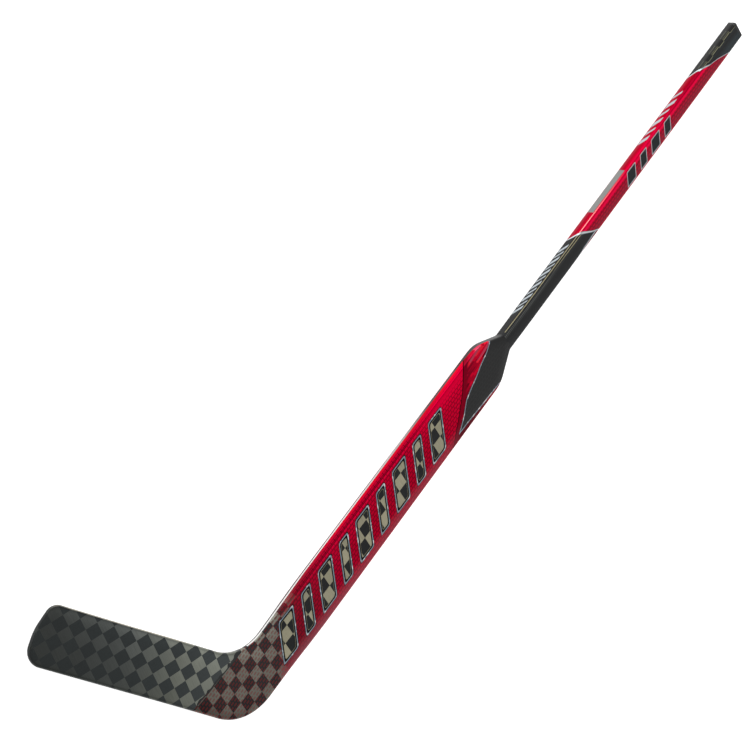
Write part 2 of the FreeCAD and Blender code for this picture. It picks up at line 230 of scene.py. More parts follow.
# Builds the mesh of a closed tube from rows of rings, with a flat cap at each end, or none at a point.
def tubeMesh(name, points, uv, skirt, caps):
    rows, ring = points.shape[:2]
    index = np.arange(rows * ring).reshape(rows, ring)
    nextRing = np.roll(index, -1, axis=1)
    quads = np.stack([index[:-1], nextRing[:-1], nextRing[1:], index[1:]], axis=-1).reshape(-1, 4)
    faces = quads.tolist()
    if caps[0]:
        faces.append(index[0, ::-1].tolist())
    if caps[1]:
        faces.append(index[-1].tolist())
    mesh = bpy.data.meshes.new(name)
    mesh.from_pydata(toFrame(points).reshape(-1, 3).tolist(), [], faces)
    column = np.arange(ring)
    corner = np.stack([column, column + 1, column + 1, column], axis=-1)
    row = np.arange(rows - 1)
    rowCorner = np.stack([row, row, row + 1, row + 1], axis=-1)
    cornerUv = uv[rowCorner[:, None, :], corner[None, :, :]].reshape(-1, 2)
    capUv = [uv[0, :ring][::-1]] * caps[0] + [uv[-1, :ring]] * caps[1]
    cornerUv = np.concatenate([cornerUv] + capUv)
    mesh.uv_layers.new(name="plan").data.foreach_set("uv", (cornerUv / perMetre).ravel())
    mesh.attributes.new("skirt", "FLOAT_VECTOR", "POINT").data.foreach_set("vector", skirt.reshape(-1, 3).ravel())
    mesh.polygons.foreach_set("use_smooth", np.ones(len(mesh.polygons), bool))
    work = bmesh.new()
    work.from_mesh(mesh)
    bmesh.ops.remove_doubles(work, verts=work.verts, dist=cuts["weld"])
    work.to_mesh(mesh)
    work.free()
    mesh.validate()
    mesh.set_sharp_from_angle(angle=cuts["sharp"])
    piece = bpy.data.objects.new(name, mesh)
    bpy.context.scene.collection.objects.link(piece)
    return piece


# Rows of rings between the two edges: each point is the two edge points weighed by t, moved inward by d,
# and raised by the half thickness less a soft fall towards the edges.
def sections(inner, outer, weights, rounding, soft):
    t, d, a, b = weights
    place = inner[0][:, None] * (1 - t)[:, None] + outer[0][:, None] * t[:, None]
    normal = inner[1][:, None] * (1 - t)[:, None] + outer[1][:, None] * t[:, None]
    radius = rounding[:, None]
    plan = place + normal * (radius * d)[..., None]
    fromInner = np.linalg.norm(plan - inner[0][:, None], axis=-1)
    fromOuter = np.linalg.norm(plan - outer[0][:, None], axis=-1)
    near = np.minimum(fromInner, fromOuter)
    fall = soft[:, None] * np.clip(1 - near / paddle["softWidth"], 0, 1) ** 2
    thick = halfThick(plan) - fall
    z = a * (thick - radius) + b * radius
    return plan, z, np.stack([fromInner, fromOuter, z], axis=-1)


# Even rows along both edges between stations, each a measure of the plan, its level there and the rows up to it.
def bandRows(stations):
    stops = np.cumsum([0] + [count for _, _, count in stations[1:]])
    rows = np.arange(stops[-1] + 1)
    edges = []
    for side in (innerSide, outerSide):
        index = [0.0 if level is None else crossing(side, measure, level) for measure, level, _ in stations]
        edges.append(sample(side, np.interp(rows, stops, index)))
    return edges


# Measures of the plan: u along the blade, x across the stick and y up it.
def alongBlade(plan):
    return bladeOf(plan)[0]


def acrossStick(plan):
    return plan[..., 0]


def alongStick(plan):
    return plan[..., 1]


weights = ringWeights(cuts["across"], cuts["quarter"], cuts["side"])


# One closed shell of the stick: rings between the two edges, then laid over the bend.
def shell(name, stations, caps, softDrop):
    inner, outer = bandRows(stations)
    rounding = np.full(len(inner[0]), stick["edgeRadius"])
    plan, z, skirt = sections(inner, outer, weights, rounding, np.full(len(inner[0]), softDrop))
    uv = np.concatenate([plan, plan[:, :1]], axis=1)
    return tubeMesh(name, bend(plan, z), uv, skirt, caps)


bladeShell = shell(
    "blade_wrap",
    [(alongBlade, None, 0), (alongBlade, *cuts["toe"]), (alongBlade, *cuts["bend"]),
     (acrossStick, blade["seamX"], cuts["seam"])],
    (False, True), blade["softDrop"],
)
paddleShell = shell(
    "paddle_wrap",
    [(acrossStick, blade["seamX"], 0), (alongStick, *cuts["heel"]), (alongStick, paddle["taperHigh"], cuts["taper"]),
     (alongStick, paddle["length"], cuts["paddle"])],
    (True, True), paddle["softDrop"],
)
throatShell = shell(
    "throat_wrap",
    [(alongStick, paddle["length"], 0), (alongStick, neckY, cuts["throat"])],
    (True, True), paddle["softDrop"],
)
print("blade, paddle and throat shells made")


# The shaft: the same ring carried straight up the stick, with its own girth measured round the near corner.
def shaftTube(name):
    foot = np.linspace(0, shaft["footLength"], cuts["foot"])
    top = stick["length"] - shaft["capLength"]
    y = np.concatenate([neckY + foot, np.linspace(neckY + shaft["footLength"], top, cuts["shaft"])[1:]])
    edge = np.stack([np.full_like(y, shaft["half"]), y], axis=-1)
    normal = np.stack([np.full_like(y, -1.0), 0 * y], axis=-1)
    flip = np.array([-1.0, 1.0])
    grown = np.clip((y - neckY) / shaft["footLength"], 0, 1)
    rounding = stick["edgeRadius"] + (shaft["round"] - stick["edgeRadius"]) * grown
    soft = paddle["softDrop"] * (1 - grown)
    plan, z, skirt = sections((edge * flip, normal * flip), (edge, normal), weights, rounding, soft)
    points = np.concatenate([plan, z[..., None]], axis=-1)
    loop = np.concatenate([points, points[:, :1]], axis=1)
    steps = np.linalg.norm(np.diff(loop, axis=1), axis=-1)
    girth = np.concatenate([0 * y[:, None], np.cumsum(steps, axis=1)], axis=1)
    corner = np.argmin(np.hypot(points[-1, :, 0] + shaft["half"], points[-1, :, 2] - shaft["halfDepth"]))
    uv = np.stack([girth - girth[:, corner:corner + 1], np.repeat(y[:, None], loop.shape[1], axis=1)], axis=-1)
    return tubeMesh(name, points, uv, skirt, (True, True))


shaftShell = shaftTube("shaft_wrap")
print("shaft made")


# One hex colour to linear light.
def tint(text):
    parts = [int(text[k:k + 2], 16) / 255 for k in (1, 3, 5)]
    return tuple(p / 12.92 if p <= 0.04045 else ((p + 0.055) / 1.055) ** 2.4 for p in parts) + (1.0,)


# Adds a node with its settings, links, ramp stops and curve points, and gives its first output in use.
def addNode(tree, kind, *inputs, stops=(), curve=(), blend=None, **settings):
    node = tree.nodes.new("ShaderNode" + kind)
    for name, value in settings.items():
        setattr(node, name, value)
    if stops:
        ramp = node.color_ramp.elements
        ramp.remove(ramp[1])
        ramp[0].position, ramp[0].color = stops[0]
        for place, shade in stops[1:]:
            ramp.new(place).color = shade
        node.color_ramp.interpolation = blend or "LINEAR"
    if curve:
        node.mapping.use_clip = False
        node.mapping.extend = "HORIZONTAL"
        line = node.mapping.curves[0].points
        for place in curve[2:]:
            line.new(*place)
        for point, place in zip(line, curve):
            point.location, point.handle_type = place, "VECTOR"
        node.mapping.update()
    pairs = inputs[0].items() if inputs and isinstance(inputs[0], dict) else enumerate(inputs)
    usable = [socket for socket in node.inputs if socket.enabled]
    for key, value in pairs:
        socket = node.inputs[key] if isinstance(key, str) else usable[key]
        if isinstance(value, bpy.types.NodeSocket):
            tree.links.new(value, socket)
        elif value is not None:
            socket.default_value = value
    return next((socket for socket in node.outputs if socket.enabled), node)


# A material with an empty tree.
def newMaterial(name):
    material = bpy.data.materials.new(name)
    material.use_nodes = True
    material.node_tree.nodes.clear()
    return material, material.node_tree


# The printed surface's own millimetres: plan x and y, the way in from the inner and the outer edge, and the height.
def surfacePlace(add):
    flat = add("VectorMath", add("UVMap", uv_map="plan"), (perMetre, perMetre, 0.0), operation="MULTIPLY")
    skirt = add("Attribute", attribute_name="skirt").node.outputs["Vector"]
    planParts = add("SeparateXYZ", flat).node.outputs
    skirtParts = add("SeparateXYZ", skirt).node.outputs
    return flat, planParts["X"], planParts["Y"], skirtParts["X"], skirtParts["Y"], skirtParts["Z"]


fabric = {
    "pitch": 18.56, "heelCorner": (-33.6, 68.45), "bladePitch": (17.23, 19.4), "bladeStart": (35.23, 10.92),
    "fibre": (0.8, 17.0), "ownTone": (0.8, 1.0), "fibreTone": (0.25, 0.75, 0.86, 1.14),
}


# Spread-tow fabric: flat tows over and under each other in squares, so neighbours shine along crossed fibres.
# Gives where the darker squares are and a tone: each tow's own shade times that of its fibres, which are drawn
# about a millimetre wide, far coarser than real ones, so that they show.
def towSquares(add, place):
    darker = add("TexChecker", place, None, None, 1.0).node.outputs["Fac"]
    ownShade = add("TexWhiteNoise", add("VectorMath", place, operation="FLOOR"), noise_dimensions="2D")
    fibres = []
    for stretch in (fabric["fibre"], fabric["fibre"][::-1]):
        drawn = add("VectorMath", place, (*stretch, 1.0), operation="MULTIPLY")
        fibres.append(add("TexNoise", {"Vector": drawn, "Scale": 1.0}))
    fibreTone = add("MapRange", add("Mix", darker, *fibres), *fabric["fibreTone"])
    ownTone = add("MapRange", ownShade, 0.0, 1.0, *fabric["ownTone"])
    return darker, add("Math", fibreTone, ownTone, operation="MULTIPLY")


dashes = {"pitch": 8.1, "row": 5.13, "shear": 0.1345, "soft": 0.3, "line": 0.75, "heelLine": 1.4}


# Mesh of dashes along the stick: bricks of one pitch in rows across it, each row shifted by a share of u.
def dashMesh(add, u, y, line):
    sheared = add("Math", u, dashes["shear"], y, operation="MULTIPLY_ADD")
    return add("TexBrick", {
        "Vector": add("CombineXYZ", sheared, u), "Scale": 1.0, "Mortar Size": line, "Mortar Smooth": dashes["soft"],
        "Brick Width": dashes["pitch"], "Row Height": dashes["row"],
    }).node.outputs["Fac"]


# Tents over the bars of a print: how far inside the nearest bar a place lies, square to the bar's slanted ends,
# below nought in the gaps and cut off past the last ones.
def barTents(first, lengths, gap, lean):
    share = math.cos(math.atan(lean))
    starts = first + np.cumsum([0.0] + [length + gap for length in lengths[:-1]])
    line = [(first - gap, -gap * share)]
    for start, length in zip(starts, lengths):
        line += [(start, 0.0), (start + length / 2, length / 2 * share), (start + length, 0.0)]
        line += [(start + length + gap / 2, -gap / 2 * share)]
    return line + [(starts[-1] + lengths[-1] + gap, -gap * share)]


# How far inside slanted bars between two straight sides a place lies, rounded where the two meet: the bars' tents
# along their lean, or the half width less the distance from its middle.
def inBars(add, u, y, bars, lean, sides, rounding):
    along = add("Math", u, lean, y, operation="MULTIPLY_ADD")
    along = add("FloatCurve", None, along, curve=barTents(*bars, lean))
    offMiddle = add("Math", add("Math", u, sides[0], operation="SUBTRACT"), operation="ABSOLUTE")
    across = add("Math", sides[1], offMiddle, operation="SUBTRACT")
    return add("Math", along, across, rounding, operation="SMOOTH_MIN")


# millimetres along the stick, across it or in from an edge; two numbers are a range, or for bars and glints a middle
# and a half width, and four are a range and what it becomes
lacquer = {
    "red": "#d80036", "foilRed": "#ff3458", "meshRed": "#8c0528", "dashRed": "#7e2a28", "paintedSheenColour": "#8f4f58",
    "fabricLight": "#96958a", "fabricDark": "#3a3b3c", "barLight": "#b2ad93", "barDark": "#2c2e2e",
    "silver": "#8fa0ac", "black": "#0a0b0c", "throatDot": "#151616", "glint": "#f2f5f6", "beige": "#8f8a70",
    "pearl": "#dedddb", "foil": 0.9, "rough": (0.33, 0.42), "satinRough": 0.4, "tintRise": (150.0, 330.0),
    "fadeLean": 0.68, "fadeFrom": 108.0, "fadeRun": 49.0, "runLean": -0.3,
    "meshEdge": (0.05, 0.5), "upperFrom": (470.0, 560.0), "clearBand": (4.0, 15.0, 1.0, 0.0),
    "heelToneAndShade": [(0.0, 0.75), (2.5, 1.0), (8.0, 1.12), (16.0, 0.85), (30.0, 0.75), (60.0, 0.7), (85.0, 0.62)],
    "faceShade": [(0.0, 1.0), (16.0, 0.98), (30.0, 0.82), (42.0, 0.77), (58.0, 0.77), (70.0, 0.93), (78.0, 1.02),
                 (90.0, 1.02)],
    "faceEnd": (540.0, 600.0),
    "bottomShade": [(0.0, 0.5), (4.0, 0.55), (8.0, 0.66), (13.0, 0.8), (20.0, 1.0), (90.0, 1.0)],
    "bottomEnd": (20.0, 36.0),
    "lowTone": [(90.0, 0.4), (150.0, 0.52), (200.0, 0.72), (280.0, 1.0)],
    "borderShadeAndHighlight": [(0.0, 0.36), (0.7, 0.4), (1.6, 0.6), (3.0, 0.82), (4.7, 0.76), (5.2, 1.45), (7.6, 1.45),
                   (8.2, 1.0), (60.0, 1.0)],
    "upperShadeAndHighlight": [(0.0, 0.65), (1.6, 0.85), (3.0, 1.35), (8.0, 1.55), (14.0, 1.35), (24.0, 1.12), (60.0, 1.1)],
    "sideShade": [(100.0, 0.3), (180.0, 0.4), (240.0, 0.56), (330.0, 0.72), (480.0, 0.72), (560.0, 0.7),
                 (600.0, 0.92), (720.0, 1.0)],
    "sideBelow": (5.0, 6.4, 1.0, 0.0), "sideWithin": (0.3, 1.5, 1.0, 0.0),
    "bars": (118.0, (34.0, 22.0, 34.0, 22.0, 34.0, 22.0, 34.0, 22.0, 34.0), 21.0),
    "barLean": 0.55, "barAcross": (-1.3, 27.3), "barRound": 6.0, "barFrom": -1.7, "windowFrom": 3.8,
    "barSpan": (-2.0, 8.0),
    "barStops": [(0.0, "black"), (0.13, "silver"), (0.3, "black"), (0.52, "beige"), (0.58, "black")],
    "glintSize": 10.0, "glintChance": (0.54, 0.64), "barGlint": (-0.15, 0.8), "throatGlint": (-0.1, 0.8),
    "sheenFall": (0.0, 22.0, 0.95, 0.0), "sheenDarker": (-20.0, 20.0, 1.0, 0.36),
    "pearlFrom": 74.0, "pearlTo": 640.0, "pearlWithin": 2.4,
    "pearlTop": [(74.0, 2.6), (120.0, 2.2), (150.0, 1.2), (216.0, -1.0), (645.0, -1.0), (685.0, 4.0), (730.0, 5.5)],
    "pearlShadowLine": [(74.0, -0.6), (110.0, -0.8), (146.0, -1.8), (190.0, -3.1), (216.0, -3.6), (400.0, -4.2),
                  (520.0, -6.8)],
    "pearlShade": [(74.0, 0.98), (300.0, 0.88), (380.0, 0.72), (480.0, 0.42), (550.0, 0.09), (615.0, 0.1),
                  (645.0, 0.02)],
    "pearlRise": (0.0, 0.8, 0.1, 1.0),
}
shards = {
    "row": 4.0, "rowLean": 0.1, "length": 32.0, "lean": -0.8, "shift": 40.0,
    "light": (600.0, 665.0, 0.42, 1.0), "edgeLight": (-22.0, -32.0, 0.0, 0.4),
    "tones": [(0.0, "#6e0c22"), (0.2, "#8c0b28"), (0.36, "#b40c2e"), (0.54, "#dc0c34"), (0.7, "#ff2c40"),
              (0.93, "#d04862")],
    "plain": "#8a0b27", "plainEnd": (10.0, 16.0), "line": "#24060c", "lineHalf": 1.3,
}
throat = {
    "keyLine": [(540.0, 45.0), (565.0, 30.5), (588.0, 17.4), (606.0, 3.5), (627.0, -3.7), (644.0, -8.3),
                (661.5, -14.9), (682.0, -20.3), (699.0, -27.6), (712.0, -36.0)],
    "outerLine": [(540.0, 29.0), (565.0, 30.5), (588.0, 30.8), (618.0, 32.5), (660.0, 34.4), (673.0, 35.3),
                  (688.0, 42.0)],
    "darkLine": [(-48.4, 639.4), (-35.7, 628.9), (-23.0, 617.7), (-13.1, 608.3), (2.4, 589.6), (12.6, 576.0),
                 (22.0, 563.1), (42.0, 535.5)],
    "lineFall": 1.33, "keyShare": 0.9, "keyFrom": -1.4, "satinFrom": 0.7, "keySpan": (-2.0, 2.0),
    "keyStops": [(0.0, "black"), (0.27, "silver"), (0.68, "black")],
}


# Candy lacquer: clear red over bright foil, so it keeps its red in every reflection, printed over the heel's fabric
# with a fine mesh that opens into dashes. The throat is a satin black print.
def candyLacquer():
    material, tree = newMaterial("candyLacquer")
    add = partial(addNode, tree)
    flat, x, y, fromInner, fromOuter, z = surfacePlace(add)
    edge = add("Math", fromInner, fromOuter, operation="MINIMUM")

    share = 1 / fabric["pitch"]
    start = [-share * place for place in fabric["heelCorner"]]
    squares = add("VectorMath", flat, (share, share, 0.0), (*start, 0.0), operation="MULTIPLY_ADD")
    darker, tone = towSquares(add, squares)
    # painted shade darkens the fabric along the bottom, up to the bend of the heel, at the inner edge and far from it
    paintedBottomShade = add("FloatCurve", None, fromOuter, curve=lacquer["bottomShade"])
    paintedBottomShade = add("Mix", add("MapRange", x, *lacquer["bottomEnd"]), paintedBottomShade, 1.0)
    heelToneAndShade = add("FloatCurve", None, fromInner, curve=lacquer["heelToneAndShade"])
    heelToneAndShade = add("Math", tone, add("Math", paintedBottomShade, heelToneAndShade, operation="MULTIPLY"), operation="MULTIPLY")
    heel = add("Mix", darker, tint(lacquer["fabricLight"]), tint(lacquer["fabricDark"]), data_type="RGBA")
    heel = add("VectorMath", heel, heelToneAndShade, operation="SCALE")

    # the red fades in on a slant, and the dashes of its mesh are further apart over the heel
    fade = add("Math", x, lacquer["fadeLean"], y, operation="MULTIPLY_ADD")
    fade = add("Math", fade, lacquer["fadeFrom"], operation="SUBTRACT")
    fadeRun = add("Math", x, lacquer["runLean"], lacquer["fadeRun"], operation="MULTIPLY_ADD")
    fade = add("Math", fade, fadeRun, operation="DIVIDE", use_clamp=True)
    mesh = dashMesh(add, x, y, add("MapRange", fade, 0.0, 1.0, dashes["heelLine"], dashes["line"]))
    dash = add("Mix", 0.5, tint(lacquer["dashRed"]), heel, data_type="RGBA")
    dash = add("Mix", fade, dash, tint(lacquer["red"]), data_type="RGBA")
    ground = add("Mix", fade, heel, tint(lacquer["meshRed"]), data_type="RGBA")
    onFace = add("MapRange", edge, *lacquer["meshEdge"])
    mesh = add("Mix", onFace, add("Math", 1.0, fade, operation="SUBTRACT"), mesh)
    # up the paddle the mesh ends short of the inner edge
    upper = add("MapRange", y, *lacquer["upperFrom"])
    clear = add("Math", upper, add("MapRange", fromInner, *lacquer["clearBand"]), operation="MULTIPLY")
    mesh = add("Mix", clear, mesh, 0.0)
    colour = add("Mix", mesh, dash, ground, data_type="RGBA")

    # painted shade as a dull border, with a painted highlight as a bright line inside it, runs up the inner edge
    paintedLightAndShade = add("FloatCurve", None, fromInner, curve=lacquer["borderShadeAndHighlight"])
    # higher up, a painted highlight over the inner side, with painted shade right at the edge
    paintedLightAndShade = add("Mix", upper, paintedLightAndShade, add("FloatCurve", None, fromInner, curve=lacquer["upperShadeAndHighlight"]))
    # painted shade on the side band, strongest low down; and the whole is darker lower down the paddle
    stripTop = add("FloatCurve", None, y, curve=lacquer["pearlTop"])
    low = add("MapRange", add("Math", z, stripTop, operation="SUBTRACT"), *lacquer["sideBelow"])
    low = add("Math", low, add("MapRange", fromInner, *lacquer["sideWithin"]), operation="MINIMUM")
    paintedLightAndShade = add("Mix", low, paintedLightAndShade, add("FloatCurve", None, y, curve=lacquer["sideShade"]))
    paintedLightAndShade = add("Math", paintedLightAndShade, add("FloatCurve", None, y, curve=lacquer["lowTone"]), operation="MULTIPLY")
    # and painted shade makes the middle of the face duller, up to the throat
    paintedFaceShade = add("FloatCurve", None, fromInner, curve=lacquer["faceShade"])
    paintedFaceShade = add("Mix", add("MapRange", y, *lacquer["faceEnd"]), paintedFaceShade, 1.0)
    paintedLightAndShade = add("Mix", fade, 1.0, add("Math", paintedLightAndShade, paintedFaceShade, operation="MULTIPLY"))
    colour = add("VectorMath", colour, paintedLightAndShade, operation="SCALE")

    # slanted bars are windows on the fabric, with a keyline round each
    inBar = inBars(add, x, y, lacquer["bars"], lacquer["barLean"], lacquer["barAcross"], lacquer["barRound"])
    barLine = add("ValToRGB", add("MapRange", inBar, *lacquer["barSpan"]), blend="CONSTANT",
                  stops=[(at, tint(lacquer[name])) for at, name in lacquer["barStops"]])
    # painted glints: white painted on the foil of the keylines in places
    glint = add("TexNoise", {"Vector": flat, "Scale": 1 / lacquer["glintSize"], "Detail": 2.0})
    glint = add("MapRange", glint, *lacquer["glintChance"])
    onGlint = add("Math", glint, add("Math", inBar, *lacquer["barGlint"], operation="COMPARE"), operation="MULTIPLY")
    barLine = add("Mix", onGlint, barLine, tint(lacquer["glint"]), data_type="RGBA")
    window = add("Mix", darker, tint(lacquer["barLight"]), tint(lacquer["barDark"]), data_type="RGBA")
    window = add("VectorMath", window, tone, operation="SCALE")
    inWindow = add("Math", inBar, lacquer["windowFrom"], operation="GREATER_THAN")
    onBar = add("Math", inBar, lacquer["barFrom"], operation="GREATER_THAN")
    colour = add("Mix", onBar, colour, add("Mix", inWindow, barLine, window, data_type="RGBA"), data_type="RGBA")

    # shards of lighter and darker red above a dark line
    shardRow = add("Math", y, shards["rowLean"], x, operation="MULTIPLY_ADD")
    shardRow = add("Math", add("Math", shardRow, shards["row"], operation="DIVIDE"), operation="FLOOR")
    shardShift = add("TexWhiteNoise", shardRow, noise_dimensions="1D")
    shardRun = add("Math", x, shards["lean"], y, operation="MULTIPLY_ADD")
    shardRun = add("Math", shardShift, shards["shift"], shardRun, operation="MULTIPLY_ADD")
    shardStep = add("Math", add("Math", shardRun, shards["length"], operation="DIVIDE"), operation="FLOOR")
    shardChance = add("TexWhiteNoise", add("CombineXYZ", shardRow, shardStep), noise_dimensions="2D")
    shardLight = add("Math", shardChance, add("MapRange", y, *shards["light"]),
                     add("MapRange", x, *shards["edgeLight"]), operation="MULTIPLY_ADD")
    shard = add("ValToRGB", shardLight, blend="CONSTANT", stops=[(at, tint(code)) for at, code in shards["tones"]])
    past = add("Math", y, add("FloatCurve", None, x, curve=throat["darkLine"]), operation="SUBTRACT")
    belowFace = add("Math", z, paddle["half"], operation="SUBTRACT")
    past = add("Math", belowFace, throat["lineFall"], past, operation="MULTIPLY_ADD")
    shard = add("Mix", add("MapRange", past, *shards["plainEnd"]), tint(shards["plain"]), shard, data_type="RGBA")
    colour = add("Mix", add("Math", past, 0.0, operation="GREATER_THAN"), colour, shard, data_type="RGBA")
    onLine = add("Math", past, 0.0, shards["lineHalf"], operation="COMPARE")
    colour = add("Mix", onLine, colour, tint(shards["line"]), data_type="RGBA")

    # painted sheen: the outer edge greys towards a pinkish grey, a painted reflection, darker past the throat's dark
    # line
    paintedSheen = add("Math", add("MapRange", fromOuter, *lacquer["sheenFall"]), fade, operation="MULTIPLY")
    paintedSheen = add("Math", paintedSheen, add("Math", inBar, 0.0, operation="LESS_THAN"), operation="MULTIPLY")
    paintedSheenTone = add("MapRange", past, *lacquer["sheenDarker"])
    paintedSheenTone = add("VectorMath", tint(lacquer["paintedSheenColour"])[:3], paintedSheenTone, operation="SCALE")
    colour = add("Mix", paintedSheen, colour, paintedSheenTone, data_type="RGBA")

    # black throat inside a silver keyline
    inLeft = add("Math", x, add("FloatCurve", None, y, curve=throat["keyLine"]), operation="SUBTRACT")
    inLeft = add("Math", inLeft, throat["keyShare"], operation="MULTIPLY")
    inRight = add("Math", add("FloatCurve", None, y, curve=throat["outerLine"]), x, operation="SUBTRACT")
    inThroat = add("Math", inLeft, inRight, operation="MINIMUM")
    keyLine = add("ValToRGB", add("MapRange", inThroat, *throat["keySpan"]), blend="CONSTANT",
                  stops=[(at, tint(lacquer[name])) for at, name in throat["keyStops"]])
    # painted glints on the throat's keyline as well
    onGlint = add("Math", inThroat, *lacquer["throatGlint"], operation="COMPARE")
    onGlint = add("Math", glint, onGlint, operation="MULTIPLY")
    keyLine = add("Mix", onGlint, keyLine, tint(lacquer["glint"]), data_type="RGBA")
    onKey = add("Math", inThroat, throat["keyFrom"], operation="GREATER_THAN")
    colour = add("Mix", onKey, colour, keyLine, data_type="RGBA")
    satin = add("Math", inThroat, throat["satinFrom"], operation="GREATER_THAN")
    throatTone = add("Mix", mesh, tint(lacquer["black"]), tint(lacquer["throatDot"]), data_type="RGBA")
    colour = add("Mix", satin, colour, throatTone, data_type="RGBA")

    # a strip of pearl coat along the side, from the red wrapping round the face to a grey painted shadow at the back;
    # painted shade darkens it up the paddle, and it is black round the shoulder
    strip = add("Math", edge, lacquer["pearlWithin"], operation="LESS_THAN")
    strip = add("Math", strip, add("Math", y, lacquer["pearlFrom"], operation="GREATER_THAN"), operation="MULTIPLY")
    strip = add("Math", strip, add("Math", z, stripTop, operation="LESS_THAN"), operation="MULTIPLY")
    backShadow = add("Math", z, add("FloatCurve", None, y, curve=lacquer["pearlShadowLine"]), operation="SUBTRACT")
    backShadow = add("MapRange", backShadow, *lacquer["pearlRise"])
    stripShade = add("FloatCurve", None, y, curve=lacquer["pearlShade"])
    stripShade = add("Math", stripShade, backShadow, operation="MULTIPLY")
    pearl = add("VectorMath", tint(lacquer["pearl"])[:3], stripShade, operation="SCALE")
    colour = add("Mix", strip, colour, pearl, data_type="RGBA")
    rim = add("Math", strip, add("Math", y, lacquer["pearlTo"], operation="GREATER_THAN"), operation="MULTIPLY")
    satin = add("Math", satin, rim, operation="MAXIMUM")

    # the red stays red where the foil is seen edge on
    notRed = add("Math", add("Math", satin, strip, operation="MAXIMUM"), onBar, operation="MAXIMUM")
    redOnly = add("MapRange", y, *lacquer["tintRise"])
    redOnly = add("Math", redOnly, notRed, operation="SUBTRACT", use_clamp=True)
    shineTint = add("Mix", redOnly, tint("#ffffff"), tint(lacquer["foilRed"]), data_type="RGBA")
    rough = add("Mix", satin, add("MapRange", mesh, 0.0, 1.0, *lacquer["rough"]), lacquer["satinRough"])
    body = add("BsdfPrincipled", {
        "Base Color": colour, "Metallic": add("Mix", satin, lacquer["foil"], 0.0), "Roughness": rough, "IOR": 1.38,
        "Specular Tint": shineTint, "Normal": add("Bump", {"Strength": 0.15, "Distance": 0.0002, "Height": mesh}),
    })
    add("OutputMaterial", body)
    return material


weave = {
    "light": "#a8aeaa", "seamLight": "#aaaea2", "dark": "#353b3b", "topEdgeHighlight": "#aaa598", "foldDark": "#191b1b",
    "across": [(0.0, 0.75), (8.0, 0.65), (14.0, 0.42), (22.0, 0.22), (35.0, 0.14), (48.0, 0.03), (62.0, -0.03),
               (75.0, -0.1), (90.0, -0.14)],
    "acrossBy": [(60.0, 0.2), (120.0, 0.9), (150.0, 1.0), (310.0, 1.0), (360.0, 0.5)], "darkAcross": (0.4, 0.9),
    "paintedShine": [(60.0, 0.75), (100.0, 0.77), (130.0, 0.79), (192.0, 0.52), (230.0, 0.4), (290.0, 0.28), (372.0, 0.2)],
    "paintedDarkShine": [(60.0, 1.2), (130.0, 1.0), (230.0, 0.72), (372.0, 0.6)], "seamEnd": (150.0, 240.0),
    "rim": [(0.0, 0.5), (2.6, 0.62), (5.0, 0.95), (8.0, 1.0), (90.0, 1.0)],
    "highlightWithin": 1.5, "highlightRise": (125.0, 160.0), "highlightFall": (330.0, 360.0, 1.0, 0.0),
    "unevenSize": 14.286, "foldWidth": (0.35, 0.65, 0.6, 4.8), "metal": (0.9, 0.1), "rough": (0.7, 1.15, 0.4, 0.32),
}


